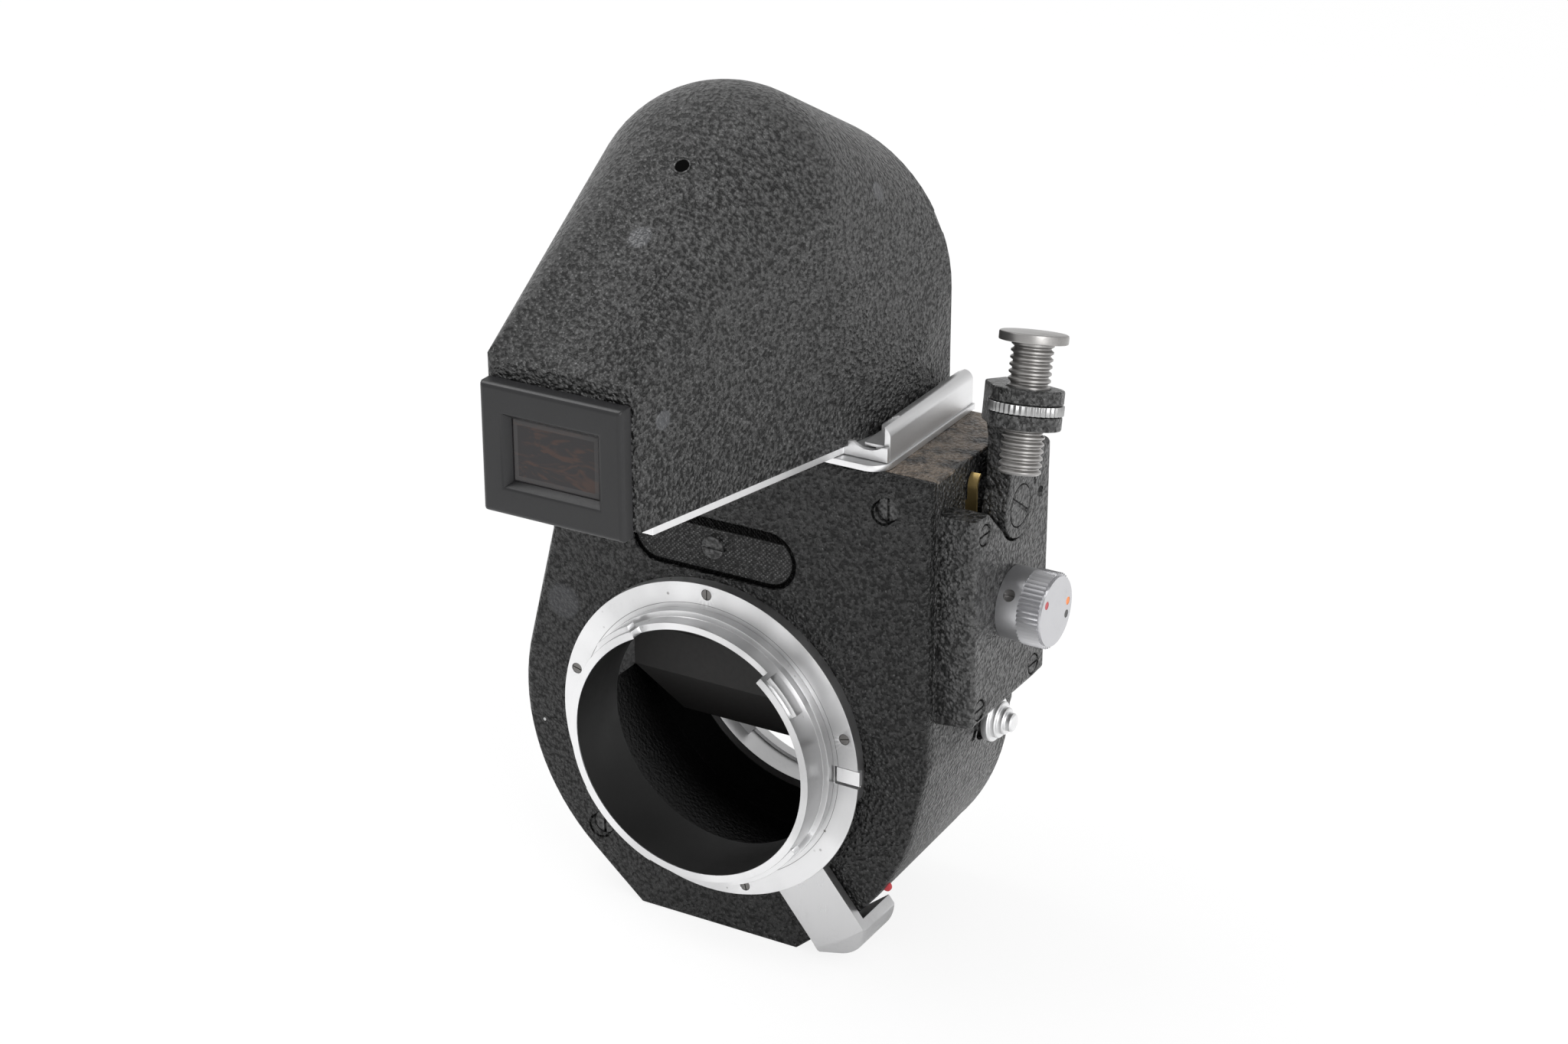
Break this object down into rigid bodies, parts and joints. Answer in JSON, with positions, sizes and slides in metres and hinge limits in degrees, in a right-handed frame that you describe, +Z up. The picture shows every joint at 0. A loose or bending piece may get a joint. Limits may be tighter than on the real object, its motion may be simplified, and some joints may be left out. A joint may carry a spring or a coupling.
{
  "type": "mirror reflex housing with prism finder",
  "caption": "Vintage mirror reflex housing with a slide-off prism finder, rear bayonet with lever, side release arm with screw plunger, mode dial and lens lock button.",
  "frame": {"origin": "centre of the rear flange's face, on the lens axis, at the root of the rear pilot", "axes": "+X is right as the viewer sees it, +Y runs forward to the lens, +Z is up"},
  "size_m": [0.0866, 0.0777, 0.1352],
  "materials": {
    "black_enamel": "black crinkle enamel over a light metal casting",
    "satin_chrome": "satin chrome on brass",
    "dial_aluminium": "fine turned",
    "dark_steel": "blackened, worn bright at the edges",
    "mirror_back": "matt dark paint",
    "mirror_face": "front silvered",
    "screen": "ground on its lower face",
    "optic": "polished and coated",
    "surround": "smooth black",
    "spring_brass": "dull",
    "red": "enamel fill",
    "orange": "enamel fill",
    "black": "enamel fill"
  },
  "bodies": {
    "housing": {"main_shell": "black_enamel", "rear_cover": "black_enamel", "cover_screws": "black_enamel", "name_plate": "black_enamel", "name_plate_screw": "black_enamel", "rear_flange": "satin_chrome", "bayonet_tube": "satin_chrome", "retaining_ring": "dark_steel", "flange_screws": "dark_steel", "lock_key": "satin_chrome", "front_ring": "satin_chrome", "front_ring_screws": "dark_steel", "ground_glass": "screen", "finder_seat": "satin_chrome", "finder_rails": "satin_chrome", "seat_screws": "dark_steel", "side_cover": "black_enamel", "side_cover_screws": "dark_steel", "leaf_spring": "spring_brass", "pivot_screw": "black_enamel"},
    "lever": {"release_lever": "satin_chrome"},
    "mirror": {"mirror_frame": "mirror_back", "mirror_glass": "mirror_face"},
    "finder": {"finder_base": "satin_chrome", "prism_housing": "black_enamel", "eyepiece_surround": "surround", "eyepiece_window": "optic", "prism_glass": "optic"},
    "arm": {"release_arm": "black_enamel"},
    "nut": {"knurled_nut": "satin_chrome"},
    "plunger": {"plunger_rod": "satin_chrome"},
    "dial": {"mode_dial": "dial_aluminium", "dial_shaft": "dark_steel", "dial_set_screw": "dark_steel", "dot_red": "red", "dot_orange": "orange", "dot_black": "black"},
    "button": {"lock_button": "satin_chrome", "lock_pin": "dark_steel"}
  },
  "joints": [
    {"name": "lever_swing", "type": "hinge", "parent": "housing", "child": "lever", "pos_m": [0, 0, 0], "axis": [0, 1, 0], "range_deg": [-28, 0]},
    {"name": "mirror_hinge", "type": "hinge", "parent": "housing", "child": "mirror", "pos_m": [0, 0.0068, 0.0135], "axis": [1, 0, 0], "range_deg": [0, 75]},
    {"name": "finder_slide", "type": "slide", "parent": "housing", "child": "finder", "axis": [0, 1, 0], "range_m": [-0.035, 0]},
    {"name": "arm_hinge", "type": "hinge", "parent": "housing", "child": "arm", "pos_m": [0, 0.0188, 0.0411], "axis": [1, 0, 0], "range_deg": [0, 20], "stiffness_Nm_per_rad": 0.02, "springref_deg": -8.59},
    {"name": "nut_turn", "type": "hinge", "parent": "arm", "child": "nut", "pos_m": [0.0465, 0.0108, 0.0602], "axis": [-0.0502, 0.2807, 0.9585], "range_deg": [-1440, 1440]},
    {"name": "plunger_slide", "type": "slide", "parent": "arm", "child": "plunger", "axis": [-0.0502, 0.2807, 0.9585], "range_m": [-0.004, 0.004]},
    {"name": "dial_turn", "type": "hinge", "parent": "housing", "child": "dial", "pos_m": [0, 0.0171, 0.0264], "axis": [1, 0, 0], "range_deg": [0, 172]},
    {"name": "button_press", "type": "slide", "parent": "housing", "child": "button", "axis": [1, 0, 0], "range_m": [-0.0015, 0], "stiffness_N_per_m": 300, "springref_m": 0.001}
  ],
  "couplings": [
    {"joint": "mirror_hinge", "follows": "arm_hinge", "ratio": 3.75},
    {"joint": "nut_turn", "follows": "plunger_slide", "rad_per_m": 6283}
  ]
}
